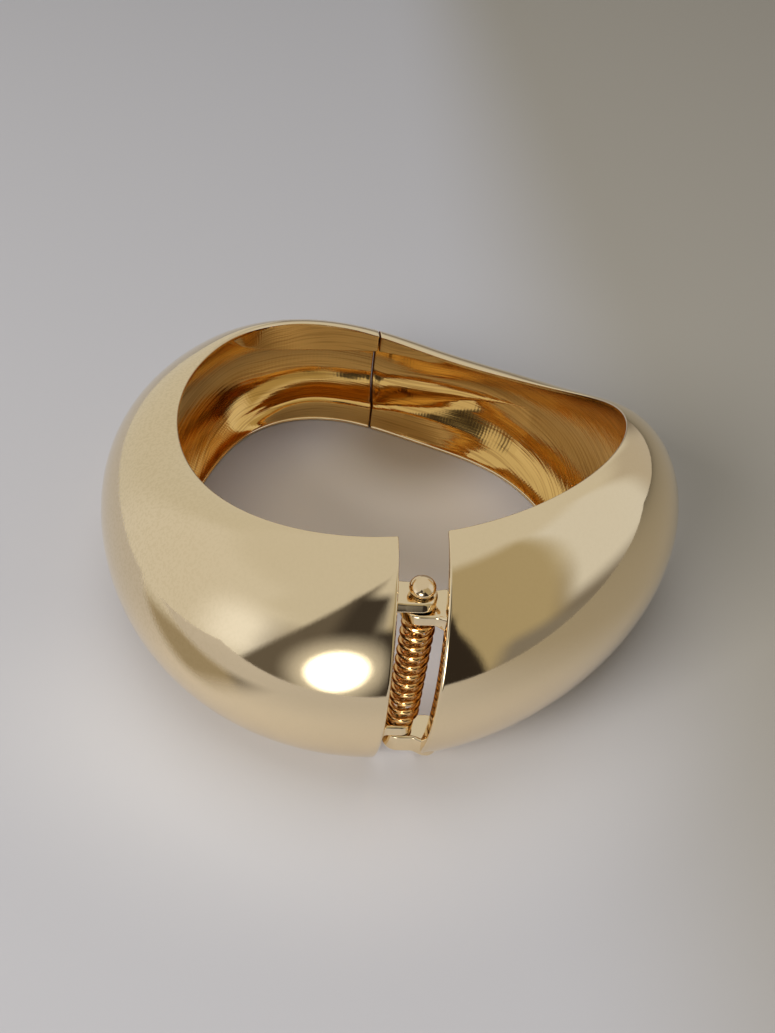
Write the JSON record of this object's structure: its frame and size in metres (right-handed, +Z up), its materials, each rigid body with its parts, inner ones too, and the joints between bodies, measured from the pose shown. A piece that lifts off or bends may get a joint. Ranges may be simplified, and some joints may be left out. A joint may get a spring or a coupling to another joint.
{
  "type": "hinged bangle",
  "caption": "Wide domed bangle in two hollow half bands that swing open on a pin and coil spring at the front.",
  "frame": {"origin": "middle of the footprint, on the surface that the lower rim lies on", "axes": "+Z up through the wrist opening, -Y towards the hinge gap, +Y towards the back joint, +X towards the swinging half"},
  "size_m": [0.0704, 0.077, 0.0324],
  "materials": {
    "gold_shell": "mirror-polished pale gold plate outside, brushed and warmer inside",
    "gold_pin": "polished gold plate",
    "spring_wire": "polished gold-plated wire"
  },
  "bodies": {
    "base": {"left_half": "gold_shell", "hinge_pin": "gold_pin", "hinge_spring": "spring_wire"},
    "swinging_half": {"right_half": "gold_shell"}
  },
  "joints": [
    {"name": "hinge", "type": "hinge", "parent": "base", "child": "swinging_half", "pos_m": [0.0001, -0.03237, 0], "axis": [0, 0, -1], "range_deg": [0, 45], "stiffness_Nm_per_rad": 0.02, "springref_deg": -34.38}
  ]
}
